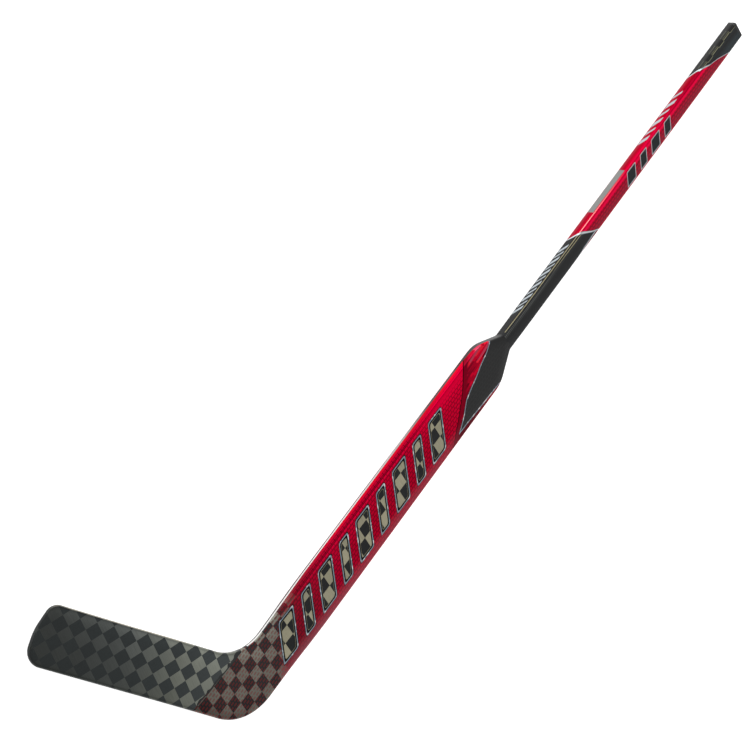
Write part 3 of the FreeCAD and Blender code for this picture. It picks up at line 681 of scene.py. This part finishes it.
# Carbon fabric pressed flat and left matte: grey graphite squares on their corners, with painted sheen dulling them
# towards the toe.
def carbonWeave():
    material, tree = newMaterial("carbonWeave")
    add = partial(addNode, tree)
    flat, x, _, fromInner, fromOuter, _ = surfacePlace(add)
    fromHeel = add("VectorMath", flat, (paddle["heelHalf"], 0.0, 0.0), operation="SUBTRACT")
    steps = []
    for turn, pitch, start in zip((1.0, -1.0), fabric["bladePitch"], fabric["bladeStart"]):
        way = (planOf(1.0, turn) - planOf(0.0, 0.0)) / math.sqrt(2) / pitch
        step = add("VectorMath", fromHeel, (*way, 0.0), operation="DOT_PRODUCT")
        steps.append(add("Math", step, start / pitch, operation="SUBTRACT"))
    darker, tone = towSquares(add, add("CombineXYZ", *steps))
    way = planOf(1.0, 0.0) - planOf(0.0, 0.0)
    along = add("VectorMath", fromHeel, (*way, 0.0), operation="DOT_PRODUCT")
    # painted sheen: brighter towards the top edge and near the seam, duller along the blade to the toe
    across = add("FloatCurve", None, fromInner, curve=weave["across"])
    across = add("Math", across, add("FloatCurve", None, along, curve=weave["acrossBy"]), operation="MULTIPLY")
    paintedShine = add("FloatCurve", None, along, curve=weave["paintedShine"])
    paintedShine = add("Math", paintedShine, add("Math", across, 1.0), operation="MULTIPLY")
    paintedDarkShine = add("FloatCurve", None, along, curve=weave["paintedDarkShine"])
    darkAcross = add("Math", across, *weave["darkAcross"], operation="MULTIPLY_ADD")
    paintedDarkShine = add("Math", paintedDarkShine, darkAcross, operation="MULTIPLY")
    fromSeam = add("MapRange", along, *weave["seamEnd"])
    light = add("Mix", fromSeam, tint(weave["seamLight"]), tint(weave["light"]), data_type="RGBA")
    light = add("VectorMath", light, paintedShine, operation="SCALE")
    dark = add("VectorMath", tint(weave["dark"])[:3], paintedDarkShine, operation="SCALE")
    squares = add("Mix", darker, light, dark, data_type="RGBA")
    # painted shade darkens the squares towards the edges
    edge = add("Math", fromInner, fromOuter, operation="MINIMUM")
    rim = add("Math", tone, add("FloatCurve", None, edge, curve=weave["rim"]), operation="MULTIPLY")
    colour = add("VectorMath", squares, rim, operation="SCALE")
    # a painted highlight, tan, along the top edge between the seam and the toe
    top = add("Math", fromInner, weave["highlightWithin"], operation="LESS_THAN")
    for stretch in ("highlightRise", "highlightFall"):
        top = add("Math", top, add("MapRange", along, *weave[stretch]), operation="MULTIPLY")
    colour = add("Mix", top, colour, tint(weave["topEdgeHighlight"]), data_type="RGBA")
    # the fabric's end is folded under the paddle's wrap, unevenly
    uneven = add("TexNoise", {"Vector": flat, "Scale": 1 / weave["unevenSize"], "Detail": 1.0})
    fold = add("Math", x, blade["seamX"], operation="SUBTRACT")
    fold = add("Math", fold, add("MapRange", uneven, *weave["foldWidth"]))
    fold = add("Math", fold, 0.0, operation="GREATER_THAN")
    colour = add("Mix", fold, colour, tint(weave["foldDark"]), data_type="RGBA")
    metal = add("Mix", add("Math", darker, fold, operation="MAXIMUM"), *weave["metal"])
    rough = add("MapRange", tone, *weave["rough"])
    body = add("BsdfPrincipled", {"Base Color": colour, "Metallic": metal, "Roughness": rough, "IOR": 1.45})
    add("OutputMaterial", body)
    return material


# girth u in millimetres from the near corner: plus over the wide face, minus over the narrow one; two numbers are a
# range, or for a line, an edge, bars or the label a middle and a half width, and four are a range and what it becomes
coat = {
    "black": "#1c1d1e", "red": "#d80238", "meshRed": "#740528", "silver": "#c3ccd2", "gold": "#b9ae86",
    "olive": "#84826a", "label": "#7c7e7c", "grip": "#050505", "cornerHighlightRed": "#e8b0a8", "gripReflection": "#2b3438",
    "blockLine": "#5a5a42", "mark": "#a9b1b6", "rib": "#3a3b39", "window": "#2c3032", "bandEdge": "#828c93",
    "foil": 0.9, "rough": (0.3, 0.7, 0.34, 0.42), "grainSize": 0.8333, "wideFrom": (6.4, 8.0),
    "redWithPaintedLight": [(-30.0, 0.45), (-13.0, 0.5), (-9.0, 0.55), (-5.0, 0.5), (-2.6, 0.72), (0.0, 0.8), (0.8, 1.1),
                (2.0, 1.3), (3.4, 1.45), (4.4, 2.1), (6.0, 2.0), (7.4, 1.05), (9.0, 0.95), (57.0, 0.88)],
    "blackWithPaintedLight": [(-30.0, 0.7), (-4.0, 0.7), (-2.0, 1.0), (3.0, 2.4), (6.0, 2.1), (9.0, 1.2), (16.0, 1.2),
                  (24.0, 1.9), (57.0, 1.2)],
    "paintedSheen": [(-30.0, 0.3), (-12.0, 0.3), (-8.0, 0.12), (-4.5, 0.05), (-2.0, 0.0), (8.0, 0.08), (27.0, 0.6),
             (57.0, 0.5)],
    "sheenUp": (1000.0, 1280.0, 0.05, 0.13), "nearCorner": (2.5, 4.5, 1.0, 0.0), "cornerAt": -1.0,
    "cornerShadeUp": (1150.0, 1270.0, 0.0, 0.4), "lowRise": (-6.0, 2.0, 0.3, 1.0), "tintRise": (-11.0, -4.0, 0.1, 1.0),
    "lowBand": [(-30.0, 934.0), (-15.7, 926.0), (-10.8, 931.0), (-3.3, 940.0), (0.0, 945.0), (1.5, 948.0),
                (17.5, 969.0), (22.5, 978.0), (27.0, 984.0), (42.7, 965.0), (57.0, 934.0)],
    "highBand": [(-30.0, 1300.0), (-15.7, 1296.0), (-10.2, 1304.6), (-5.0, 1314.6), (0.0, 1320.0), (1.5, 1326.0),
                 (8.5, 1341.0), (13.8, 1361.0), (24.7, 1389.0), (42.7, 1350.0), (57.0, 1300.0)],
    "lowHalf": [(-30.0, 1.2), (-12.0, 1.7), (-3.0, 3.0), (3.0, 4.0), (10.0, 2.8), (22.0, 1.8), (57.0, 1.2)],
    "highHalf": [(-30.0, 1.2), (-12.0, 1.7), (-3.0, 3.0), (2.0, 4.2), (6.0, 2.4), (10.0, 1.8), (22.0, 1.3),
                 (57.0, 1.2)],
    "bandStops": (0.0, 0.4, 0.9), "outerLine": [(895.0, 31.0), (940.0, 24.0), (978.0, 22.2)], "outerEnd": 40.0,
    "outerHalf": 0.8,
    "ribPitch": 3.0, "ribFrom": 3.2, "ribAcross": (4.0, 11.0, 1.0, 0.0), "ribAlong": (840.0, 890.0, 1.0, 0.0),
    "cornerLine": (-0.3, 0.55), "cornerFrom": 731.0, "cornerFall": (965.0, 1085.0, 0.7, 0.0),
    "secondLine": (3.2, 0.45), "secondRise": (860.0, 910.0),
    "gripFrom": 3.0, "gripReflectionTone": [(2.0, 0.0), (5.0, 0.35), (9.0, 0.0), (12.0, 0.25), (18.0, 1.0), (24.0, 0.8)],
    "blockPitch": 35.5, "blockLength": 15.5, "blockFrom": 1340.0, "blockAt": -3.4, "blockHalf": 2.8,
    "blockEdge": (2.5, 0.4),
    "stepAt": 1.3, "stepBy": 1.5, "stepHalf": 0.55, "stepFall": (1405.0, 1430.0, 1.0, 0.3),
    "lowSlashes": (786.0, (7.0, 4.5, 7.0, 4.5, 7.0, 4.5, 7.0, 4.5, 7.0, 4.5, 7.0), 7.5),
    "highSlashes": (1160.0, (11.0, 7.0, 11.0, 7.0, 11.0, 7.0), 12.0),
    "slashLean": -1.5, "slashAcross": (-7.8, 5.0), "slashRound": 1.0,
    "bars": (1088.0, (24.0, 18.0, 24.0, 18.0), 16.0), "barLean": 0.6, "barAcross": (13.6, 9.6), "barRound": 2.0,
    "barFrom": -0.6, "barSpan": (-2.0, 2.0), "windowFrom": 0.66,
    "labelAcross": (-9.2, 7.2), "labelAlong": (1038.5, 47.5),
}


# The same lacquer up the shaft: black below and at the butt, red between, with foil bands, bars and a blank label.
def shaftLacquer():
    material, tree = newMaterial("shaftLacquer")
    add = partial(addNode, tree)
    flat, u, y, *_ = surfacePlace(add)
    pastLow = add("Math", y, add("FloatCurve", None, u, curve=coat["lowBand"]), operation="SUBTRACT")
    pastHigh = add("Math", y, add("FloatCurve", None, u, curve=coat["highBand"]), operation="SUBTRACT")
    pastOuter = add("Math", u, add("FloatCurve", None, y, curve=coat["outerLine"]), operation="SUBTRACT")
    belowLow = add("Math", pastLow, 0.0, operation="LESS_THAN")
    outerRed = add("Math", pastOuter, 0.0, operation="GREATER_THAN")
    outerRed = add("Math", outerRed, add("Math", u, coat["outerEnd"], operation="LESS_THAN"), operation="MULTIPLY")
    red = add("Math", add("Math", pastLow, 0.0, operation="GREATER_THAN"), outerRed, operation="MAXIMUM")
    red = add("Math", red, add("Math", pastHigh, 0.0, operation="LESS_THAN"), operation="MULTIPLY")

    # the mesh is on the wide face; a painted sheen greys the red towards the far edge and on the narrow face
    mesh = dashMesh(add, u, y, dashes["line"])
    wide = add("MapRange", u, *coat["wideFrom"])
    onMesh = add("Math", mesh, wide, operation="MULTIPLY")
    redWithPaintedLight = add("Mix", onMesh, tint(coat["red"]), tint(coat["meshRed"]), data_type="RGBA")
    paintedSheen = add("FloatCurve", None, u, curve=coat["paintedSheen"])
    paintedSheen = add("Math", wide, add("MapRange", y, *coat["sheenUp"]), paintedSheen, operation="MULTIPLY_ADD")
    redWithPaintedLight = add("Mix", paintedSheen, redWithPaintedLight, tint(lacquer["paintedSheenColour"]), data_type="RGBA")
    # a painted highlight strip beside the near corner, painted shade on the narrow face and by the corner higher up
    byCorner = add("Math", add("Math", u, coat["cornerAt"], operation="SUBTRACT"), operation="ABSOLUTE")
    byCorner = add("MapRange", byCorner, *coat["nearCorner"])
    paintedCornerShade = add("Math", byCorner, add("MapRange", y, *coat["cornerShadeUp"]), operation="MULTIPLY")
    for scale in (
        add("FloatCurve", None, u, curve=coat["redWithPaintedLight"]), add("Math", 1.0, paintedCornerShade, operation="SUBTRACT"),
        add("MapRange", pastLow, *coat["lowRise"]),
    ):
        redWithPaintedLight = add("VectorMath", redWithPaintedLight, scale, operation="SCALE")

    # fine ribs beside the lower corner
    rib = add("Math", add("Math", y, 2 * math.pi / coat["ribPitch"], operation="MULTIPLY"), operation="SINE")
    rib = add("Math", rib, 0.0, operation="GREATER_THAN")
    for part in (
        add("MapRange", u, *coat["ribAcross"]), add("MapRange", y, *coat["ribAlong"]),
        add("Math", u, coat["ribFrom"], operation="GREATER_THAN"),
    ):
        rib = add("Math", rib, part, operation="MULTIPLY")
    dark = add("Mix", rib, tint(coat["black"]), tint(coat["rib"]), data_type="RGBA")
    # painted light on the black too: highlights beside the near corner and over the wide face, shade on the narrow
    # face
    dark = add("VectorMath", dark, add("FloatCurve", None, u, curve=coat["blackWithPaintedLight"]), operation="SCALE")
    colour = add("Mix", red, dark, redWithPaintedLight, data_type="RGBA")

    # two corner lines of pale foil; over the red the near one is a painted highlight in pale red, and it fades up the
    # shaft
    cornerLine = add("Math", u, *coat["cornerLine"], operation="COMPARE")
    cornerStart = add("Math", y, coat["cornerFrom"], operation="GREATER_THAN")
    cornerLine = add("Math", cornerLine, cornerStart, operation="MULTIPLY")
    cornerLine = add("Math", cornerLine, add("MapRange", y, *coat["cornerFall"]), operation="MULTIPLY")
    cornerTone = add("Mix", red, tint(coat["gold"]), tint(coat["cornerHighlightRed"]), data_type="RGBA")
    colour = add("Mix", cornerLine, colour, cornerTone, data_type="RGBA")
    second = add("Math", u, *coat["secondLine"], operation="COMPARE")
    second = add("Math", second, add("MapRange", y, *coat["secondRise"]), operation="MULTIPLY")
    second = add("Math", second, belowLow, operation="MULTIPLY")
    colour = add("Mix", second, colour, tint(coat["gold"]), data_type="RGBA")

    # blocks round the corner of the grip, with a stepped line beside them
    grip = add("Math", pastHigh, coat["gripFrom"], operation="GREATER_THAN")
    # painted reflection: blue-grey bands across the wide face of the black grip
    gripReflectionTone = add("FloatCurve", None, u, curve=coat["gripReflectionTone"])
    gripReflectionTone = add("Mix", gripReflectionTone, tint(coat["black"]), tint(coat["gripReflection"]), data_type="RGBA")
    colour = add("Mix", grip, colour, gripReflectionTone, data_type="RGBA")
    fromFirst = add("Math", y, coat["blockFrom"], operation="SUBTRACT")
    onBlock = add("Math", fromFirst, coat["blockPitch"], operation="FLOORED_MODULO")
    onBlock = add("Math", onBlock, coat["blockLength"], operation="LESS_THAN")
    fromBlock = add("Math", add("Math", u, coat["blockAt"], operation="SUBTRACT"), operation="ABSOLUTE")
    block = add("Math", fromBlock, coat["blockHalf"], operation="LESS_THAN")
    block = add("Math", block, add("Math", onBlock, grip, operation="MULTIPLY"), operation="MULTIPLY")
    colour = add("Mix", block, colour, tint(coat["grip"]), data_type="RGBA")
    blockEdge = add("Math", fromBlock, *coat["blockEdge"], operation="COMPARE")
    blockEdge = add("Math", blockEdge, add("Math", grip, onBlock, operation="GREATER_THAN"), operation="MULTIPLY")
    colour = add("Mix", blockEdge, colour, tint(coat["blockLine"]), data_type="RGBA")
    stepped = add("Math", onBlock, coat["stepBy"], coat["stepAt"], operation="MULTIPLY_ADD")
    stepLine = add("Math", u, stepped, coat["stepHalf"], operation="COMPARE")
    stepLine = add("Math", stepLine, add("MapRange", y, *coat["stepFall"]), operation="MULTIPLY")
    stepLine = add("Math", stepLine, grip, operation="MULTIPLY")
    colour = add("Mix", stepLine, colour, tint(coat["olive"]), data_type="RGBA")

    # slashes along the narrow face and outlined bars on the wide one
    foil = 0.0
    for slashes in ("lowSlashes", "highSlashes"):
        inside = inBars(add, u, y, coat[slashes], coat["slashLean"], coat["slashAcross"], coat["slashRound"])
        foil = add("Math", foil, add("Math", inside, 0.0, operation="GREATER_THAN"), operation="MAXIMUM")
    colour = add("Mix", foil, colour, tint(coat["mark"]), data_type="RGBA")
    inside = inBars(add, u, y, coat["bars"], coat["barLean"], coat["barAcross"], coat["barRound"])
    bar = add("ValToRGB", add("MapRange", inside, *coat["barSpan"]), blend="CONSTANT",
              stops=[(0.0, tint(coat["silver"])), (coat["windowFrom"], tint(coat["window"]))])
    onBar = add("Math", inside, coat["barFrom"], operation="GREATER_THAN")
    colour = add("Mix", onBar, colour, bar, data_type="RGBA")

    # blank label
    onLabel = add("Math", u, *coat["labelAcross"], operation="COMPARE")
    onLabel = add("Math", onLabel, add("Math", y, *coat["labelAlong"], operation="COMPARE"), operation="MULTIPLY")
    colour = add("Mix", onLabel, colour, tint(coat["label"]), data_type="RGBA")

    # foil bands where black meets red, measured in their own half widths, with a white painted highlight in their
    # middle, darker towards their edges
    away = []
    for past, half in ((pastLow, "lowHalf"), (pastHigh, "highHalf")):
        halfWidth = add("FloatCurve", None, u, curve=coat[half])
        away.append(add("Math", add("Math", past, operation="ABSOLUTE"), halfWidth, operation="DIVIDE"))
    offBand = add("Math", *away, operation="MINIMUM")
    band = add("Math", offBand, 1.0, operation="LESS_THAN")
    bandHighlightTones = (lacquer["glint"], coat["silver"], coat["bandEdge"])
    bandHighlightTone = add("ValToRGB", offBand, stops=[(at, tint(code)) for at, code in zip(coat["bandStops"], bandHighlightTones)])
    outerBand = add("Math", pastOuter, 0.0, coat["outerHalf"], operation="COMPARE")
    outerBand = add("Math", outerBand, belowLow, operation="MULTIPLY")
    colour = add("Mix", outerBand, colour, tint(coat["silver"]), data_type="RGBA")
    colour = add("Mix", band, colour, bandHighlightTone, data_type="RGBA")
    shiny = add("Math", add("Math", band, outerBand, operation="MAXIMUM"), foil, operation="MAXIMUM")
    metal = add("Math", add("Math", red, shiny, operation="MAXIMUM"), coat["foil"], operation="MULTIPLY")

    # the red stays red where the foil is seen edge on
    notRed = add("Math", add("Math", onLabel, onBar, operation="MAXIMUM"), shiny, operation="MAXIMUM")
    onRed = add("Math", red, notRed, operation="GREATER_THAN")
    onRed = add("Math", onRed, add("MapRange", u, *coat["tintRise"]), operation="MULTIPLY")
    shineTint = add("Mix", onRed, tint("#ffffff"), tint(lacquer["foilRed"]), data_type="RGBA")
    # the coat's own unevenness, drawn coarser than the real one so that it shows
    grain = add("TexNoise", {"Vector": flat, "Scale": 1 / coat["grainSize"]})
    bump = add("Bump", {"Strength": 0.12, "Distance": 0.0002, "Height": add("Mix", wide, grain, mesh)})
    body = add("BsdfPrincipled", {
        "Base Color": colour, "Metallic": metal, "Roughness": add("MapRange", grain, *coat["rough"]), "Normal": bump,
        "IOR": 1.25, "Specular Tint": shineTint,
    })
    add("OutputMaterial", body)
    return material


nylon = {"low": "#101112", "high": "#1c1e1f", "grain": 0.8, "rough": (0.3, 0.7, 0.42, 0.56)}


# Moulded nylon: near black, with a spark-eroded grain that breaks up its sheen, drawn coarse enough to show.
def mouldedNylon():
    material, tree = newMaterial("mouldedNylon")
    add = partial(addNode, tree)
    place = add("TexCoord").node.outputs["Object"]
    grain = add("TexNoise", {"Vector": place, "Scale": perMetre / nylon["grain"], "Detail": 3.0})
    colour = add("Mix", grain, tint(nylon["low"]), tint(nylon["high"]), data_type="RGBA")
    bump = add("Bump", {"Strength": 0.2, "Distance": 0.0001, "Height": grain})
    rough = add("MapRange", grain, *nylon["rough"])
    body = add("BsdfPrincipled", {"Base Color": colour, "Roughness": rough, "Normal": bump, "IOR": 1.5})
    add("OutputMaterial", body)
    return material


laminate = {"resin": "#141516", "fibre": "#303334", "drawn": 40.0, "rough": (0.3, 0.7, 0.5, 0.34)}


# Bare carbon laminate: dark resin with fibres drawn out along the stick.
def carbonLaminate():
    material, tree = newMaterial("carbonLaminate")
    add = partial(addNode, tree)
    stretch = (perMetre, perMetre / laminate["drawn"], perMetre)
    place = add("VectorMath", add("TexCoord").node.outputs["Object"], stretch, operation="MULTIPLY")
    fibre = add("TexNoise", {"Vector": place, "Scale": 1.0, "Detail": 4.0})
    colour = add("Mix", fibre, tint(laminate["resin"]), tint(laminate["fibre"]), data_type="RGBA")
    rough = add("MapRange", fibre, *laminate["rough"])
    body = add("BsdfPrincipled", {"Base Color": colour, "Roughness": rough, "IOR": 1.55})
    add("OutputMaterial", body)
    return material


foam = {"cellWall": "#b7a878", "cell": "#e6dab4", "cellSize": 0.7}


# Rigid foam, cut: pale straw with open cells under a millimetre across.
def cutFoam():
    material, tree = newMaterial("cutFoam")
    add = partial(addNode, tree)
    place = add("TexCoord").node.outputs["Object"]
    cells = add("TexVoronoi", {"Vector": place, "Scale": perMetre / foam["cellSize"]})
    colour = add("Mix", cells, tint(foam["cellWall"]), tint(foam["cell"]), data_type="RGBA")
    bump = add("Bump", {"Strength": 0.5, "Distance": 0.0003, "Height": cells})
    body = add("BsdfPrincipled", {"Base Color": colour, "Roughness": 0.9, "Normal": bump})
    add("OutputMaterial", body)
    return material


redLacquer = candyLacquer()
for piece, look, nodes, slot in (
    (bladeShell, carbonWeave(),
     ("blade_toe_rail", "blade_top_rail", "blade_sole_rail", "blade_front_skin", "blade_back_skin"), "carbon_weave"),
    (paddleShell, redLacquer,
     ("paddle_inner_rail", "paddle_outer_rail", "paddle_front_skin", "paddle_back_skin"), "red_lacquer"),
    (throatShell, redLacquer, ("throat_block",), "black_lacquer"),
    (shaftShell, shaftLacquer(), ("shaft_tube",), "red_lacquer"),
):
    piece.data.materials.append(look)
    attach(piece, "root")
    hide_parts(*nodes)
for look, nodes in (
    (mouldedNylon(), ("butt_plug",)),
    (carbonLaminate(), ("shaft_tenon", "heel_block", "paddle_spar", "blade_bridge")),
    (cutFoam(),
     ("shaft_foam_plug", "paddle_inner_core", "paddle_outer_core", "blade_lower_core", "blade_upper_core")),
):
    for node in nodes:
        frame["nodes"][node].data.materials.clear()
        frame["nodes"][node].data.materials.append(look)
print("looks given")

# the camera in the stick's own axes, as the photo's outline gives it
view = {
    "place": (-2808.4, -1722.0, 3314.6), "right": (0.445724, 0.536804, 0.716345), "lens": 160.8, "farEnd": 100.0,
    "down": (0.703417, -0.704986, 0.090579), "ahead": (0.553579, 0.463501, -0.691863),
}
eye = toFrame(np.array(view["place"]))
axes = [(toFrame(np.array(view[name])) - toFrame(np.zeros(3))) * perMetre for name in ("right", "down", "ahead")]
camera = bpy.data.objects.new("camera", bpy.data.cameras.new("camera"))
camera.data.lens = view["lens"]
camera.data.clip_end = view["farEnd"]
camera.matrix_world = Matrix([(axes[0][k], -axes[1][k], -axes[2][k], eye[k]) for k in range(3)] + [(0, 0, 0, 1)])
bpy.context.scene.collection.objects.link(camera)
bpy.context.scene.camera = camera

# white paper that glows a little, as an overlit sweep does, in a room with bright walls low down and a dim ceiling
studio = {
    "paper": ("#eeeeee", "#f6f6f6"), "paperGlow": 0.75, "tooth": 2.5, "floorHalf": 9.0,
    "roomGlow": [(-1.0, 1.0), (0.0, 1.25), (0.3, 1.0), (0.56, 0.62), (0.75, 0.42), (0.9, 0.32), (1.0, 0.28)],
    "lamps": (("keyLight", (-1.75, 1.45, 2.1), 2.4, 32.0), ("fillLight", (-2.2, -1.6, 3.0), 3.0, 30.0)),
}
floorMesh = bpy.data.meshes.new("floor")
half = studio["floorHalf"]
floorMesh.from_pydata([(-half, -half, 0), (half, -half, 0), (half, half, 0), (-half, half, 0)], [], [(0, 1, 2, 3)])
floor = bpy.data.objects.new("floor", floorMesh)
bpy.context.scene.collection.objects.link(floor)
# Coated paper: white and matte, its tooth drawn far coarser than the real one, as a barely uneven tone.
paper, paperTree = newMaterial("whitePaper")
add = partial(addNode, paperTree)
tooth = add("TexNoise", {"Vector": add("TexCoord").node.outputs["Object"], "Scale": perMetre / studio["tooth"]})
paperColour = add("Mix", tooth, *map(tint, studio["paper"]), data_type="RGBA")
add("OutputMaterial", add("BsdfPrincipled", {
    "Base Color": paperColour, "Roughness": 0.95, "Emission Color": tint("#ffffff"),
    "Emission Strength": studio["paperGlow"],
}))
floor.data.materials.append(paper)

for name, place, size, power in studio["lamps"]:
    lamp = bpy.data.objects.new(name, bpy.data.lights.new(name, "AREA"))
    lamp.data.size = size
    lamp.data.energy = power
    lamp.location = place
    lamp.rotation_euler = (-lamp.location).to_track_quat("-Z", "Y").to_euler()
    bpy.context.scene.collection.objects.link(lamp)

world = bpy.data.worlds.new("studio")
world.use_nodes = True
world.node_tree.nodes.clear()
add = partial(addNode, world.node_tree)
height = add("SeparateXYZ", add("TexCoord").node.outputs["Generated"]).node.outputs["Z"]
add("OutputWorld", add("Background", tint("#ffffff"), add("FloatCurve", None, height, curve=studio["roomGlow"])))
bpy.context.scene.world = world
bpy.context.scene.view_settings.view_transform = "Standard"
print("stage set")
